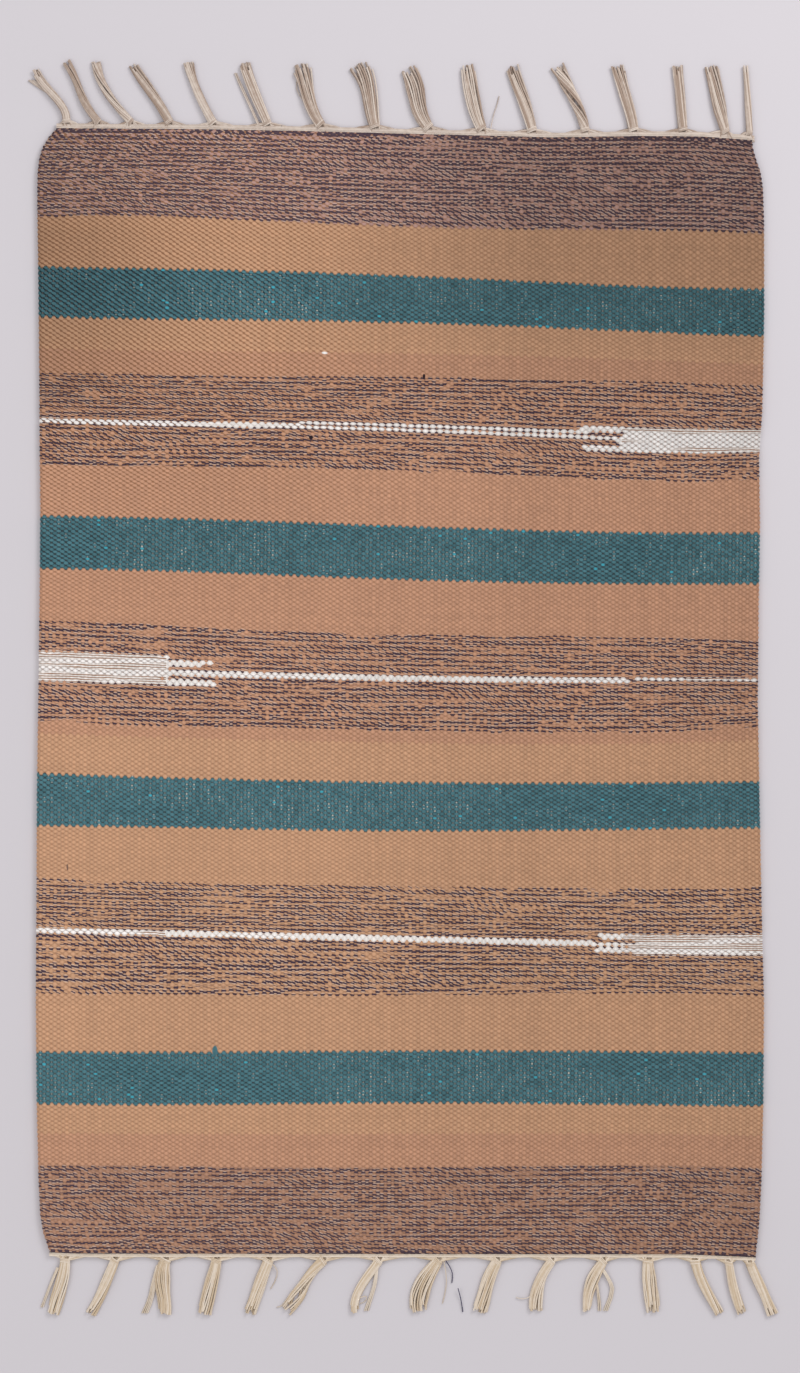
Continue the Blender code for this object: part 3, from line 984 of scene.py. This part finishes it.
# %% Knots and edge rows
def knot_wraps(curves, tassel, side, chance):
    """The turns of yarn that make a tassel's knot."""
    centre, direction = middle_line(tassel, side, 0.0)
    half = tassel.neck / 2 - YARN_RADIUS * 0.4
    tilt = chance.uniform(0.3, 1.1)
    for wrap in range(WRAPS):
        out = 1.15 * (wrap - (WRAPS - 1) / 2)
        points = []
        for step in range(13):
            angle = -0.6 + (2.0 * math.pi + 0.2) * step / 12
            lateral = half * math.cos(angle)
            forward = out + tilt * math.cos(angle)
            x = centre.x + direction.x * forward + direction.y * side * lateral
            y = centre.y + direction.y * forward - direction.x * side * lateral
            points.append((x, y, 2.45 + 1.6 * math.sin(angle)))
        add_yarn(curves, chance.choice(SHADES[:3]), points, 0.9)


def heading_cords(curves, strip):
    """The pale rows of yarn close to the cloth's edge, under the ones that cross them."""
    for lane in range(math.ceil(strip.width)):
        points = []
        for step in range(91):
            x = strip.start + (strip.end - strip.start) * step / 90
            wave = 0.2 * math.sin(x * 0.2 + lane)
            y = float(end_edge(strip.side, x)) + strip.side * (0.5 + 0.95 * lane + wave)
            points.append((x, y, 2.2 + 0.2 * math.sin(x * 0.13 + lane)))
        add_yarn(curves, SHADES[lane % 2], points, 1.2)


print("turns in a knot:", WRAPS)

# %% [markdown]
# Each end's fringe becomes a single mesh. Each yarn's dye stays on its points, where
# the material reads it.

# %% Fringe
def as_mesh(curve):
    """The curve's tubes as a mesh. The curve itself isn't kept."""
    holder = bpy.data.objects.new(curve.name, curve)
    bpy.context.scene.collection.objects.link(holder)
    bpy.context.view_layer.update()
    ready = holder.evaluated_get(bpy.context.evaluated_depsgraph_get())
    mesh = bpy.data.meshes.new_from_object(ready)
    bpy.data.objects.remove(holder)
    return mesh


def make_fringe(name, fringe, loose, strip):
    """One end's fringe as a single mesh, with each yarn's dye on its points."""
    chance = random.Random(strip.seed)
    curves = {}
    for dye in (*SHADES, INDIGO):
        curve = bpy.data.curves.new(name + "_line", "CURVE")
        curve.dimensions = "3D"
        curve.bevel_depth = YARN_RADIUS * MM
        curve.bevel_resolution = 1
        curve.use_fill_caps = True
        curves[dye] = curve
    bounds = [strip.start]
    bounds += [(a.root + b.root) / 2 for a, b in zip(fringe, fringe[1:])]
    bounds.append(strip.end)
    heading_cords(curves, strip)
    for tassel, left, right in zip(fringe, bounds, bounds[1:]):
        tassel_yarns(curves, tassel, strip, left, right, chance)
        knot_wraps(curves, tassel, strip.side, chance)
    for row in loose:
        loose_yarns(curves, row, chance)
    bm = bmesh.new()
    layer = bm.verts.layers.float.new("dye")
    for dye, curve in curves.items():
        part = as_mesh(curve)
        before = len(bm.verts)
        bm.from_mesh(part)
        bm.verts.ensure_lookup_table()
        for vert in bm.verts[before:]:
            vert[layer] = dye
        bpy.data.meshes.remove(part)
    mesh = bpy.data.meshes.new(name)
    bm.to_mesh(mesh)
    bm.free()
    obj = bpy.data.objects.new(name, mesh)
    bpy.context.scene.collection.objects.link(obj)
    mesh.shade_smooth()
    print(name, "triangles:", sum(len(p.vertices) - 2 for p in mesh.polygons))
    return obj


top_yarns = make_fringe("fringe_yarns_top", TOP_FRINGE, TOP_LOOSE, TOP_STRIP)
bottom_yarns = make_fringe("fringe_yarns_bottom", BOTTOM_FRINGE, BOTTOM_LOOSE, BOTTOM_STRIP)

# %% [markdown]
# The yarns are undyed cotton. The bottom ones are a little paler in the photo.

# %% Yarn colour
def yarn_material(name, light, dull):
    """Undyed cotton: matt, some yarns duller than others, with painted shade deep in a tassel."""
    material, shader, at = new_material(name, 0.95)
    coords = at.node("ShaderNodeTexCoord", {})
    spot = Signal(at.tree, coords.outputs["Object"])
    parts = at.node("ShaderNodeSeparateXYZ", {}, spot)
    level = Signal(at.tree, parts.outputs[2])
    named = at.node("ShaderNodeAttribute", {"attribute_name": "dye"})
    dye = Signal(at.tree, named.outputs["Fac"])
    patches = (at.noise(spot, 260.0, 2.0) - 0.5) * 0.8
    colour = at.mix((dye + patches).ramp(-0.2, 1.0), light, dull)
    # painted shade: yarns low down, deep in a tassel and near the floor, are darkened
    painted_shade_height = level.ramp(0.5 * MM, 3.2 * MM)
    colour = at.scaled(colour, 0.82 + painted_shade_height * 0.18)
    colour = at.mix(dye > 1.5, colour, srgb(70, 66, 92))
    at.feed(shader.inputs["Base Color"], colour)
    plies = at.noise(spot, 1500.0, 2.0)
    bump = at.node("ShaderNodeBump", {}, 0.5, 0.0003)
    at.feed(bump.inputs["Height"], plies)
    at.feed(shader.inputs["Normal"], Signal(at.tree, bump.outputs[0]))
    return material


top_paint = yarn_material("warp_yarn_top", srgb(214, 200, 189), srgb(168, 147, 133))
bottom_paint = yarn_material("warp_yarn_bottom", srgb(229, 215, 200), srgb(205, 184, 158))
top_yarns.data.materials.append(top_paint)
bottom_yarns.data.materials.append(bottom_paint)
print("yarn shader nodes:", len(top_paint.node_tree.nodes))

# %% [markdown]
# ## Joining the pieces to the solids
#
# Each piece lies on the rug's one body and takes the place of its own solid.

# %% Declarations
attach(cloth, "root")
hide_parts("woven_cloth")
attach(top_yarns, "root")
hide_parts("fringe_top")
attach(bottom_yarns, "root")
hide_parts("fringe_bottom")
print("pieces joined: 3")

# %% [markdown]
# ## Floor, light and camera
#
# The rug lies on a wide pale floor.

# %% Floor
FLOOR_HALF = 40.0

floor_mesh = bpy.data.meshes.new("floor")
bm = bmesh.new()
bmesh.ops.create_grid(bm, x_segments=1, y_segments=1, size=FLOOR_HALF)
bm.to_mesh(floor_mesh)
bm.free()
floor = bpy.data.objects.new("floor", floor_mesh)
bpy.context.scene.collection.objects.link(floor)
floor_material, floor_shader, _ = new_material("floor_paint", 0.8)
floor_shader.inputs["Base Color"].default_value = srgb(207, 202, 207)
floor_mesh.materials.append(floor_material)
print("the rug rests on:", floor.name)

# %% [markdown]
# A broad lamp at the upper right gives the light its direction, a wider one fills the
# shadows from the left, and the room itself is softly lit.

# %% Light
ROOM_LIGHT = 0.75

world = bpy.data.worlds.new("room")
world.use_nodes = True
world.node_tree.nodes["Background"].inputs["Color"].default_value = (1.0, 1.0, 1.0, 1.0)
world.node_tree.nodes["Background"].inputs["Strength"].default_value = ROOM_LIGHT
bpy.context.scene.world = world

Lamp = namedtuple("Lamp", "name x y z size power")
LAMPS = (
    Lamp("window", 1.6, 1.8, 1.7, 1.2, 34.0),
    Lamp("fill", -1.8, -0.6, 2.2, 2.0, 10.0),
)
for lamp in LAMPS:
    light = bpy.data.lights.new(lamp.name, "AREA")
    light.shape = "DISK"
    light.size = lamp.size
    light.energy = lamp.power
    holder = bpy.data.objects.new(lamp.name, light)
    holder.location = (lamp.x, lamp.y, lamp.z)
    aim = Vector((0.0, 0.0, 0.0)) - holder.location
    holder.rotation_euler = aim.to_track_quat("-Z", "Y").to_euler()
    bpy.context.scene.collection.objects.link(holder)
print("lamps:", [lamp.name for lamp in LAMPS])

# %% [markdown]
# The camera looks straight down from above the middle, with a long lens. Its height
# follows from the length of floor that the picture shows.

# %% Camera
SHOWN_LENGTH = 1134.6
SHOWN_MIDDLE = 4.5
SENSOR = 36.0
LENS = 85.0
camera = bpy.data.cameras.new("camera")
camera.lens = LENS
camera.sensor_width = SENSOR
above = bpy.data.objects.new("camera", camera)
above.location = place(0.0, SHOWN_MIDDLE, SHOWN_LENGTH * LENS / SENSOR + CLOTH_TOP)
bpy.context.scene.collection.objects.link(above)
bpy.context.scene.camera = above
bpy.context.scene.view_settings.view_transform = "Standard"
print("camera height", round(above.location.z, 3), "m")

# %% [markdown]
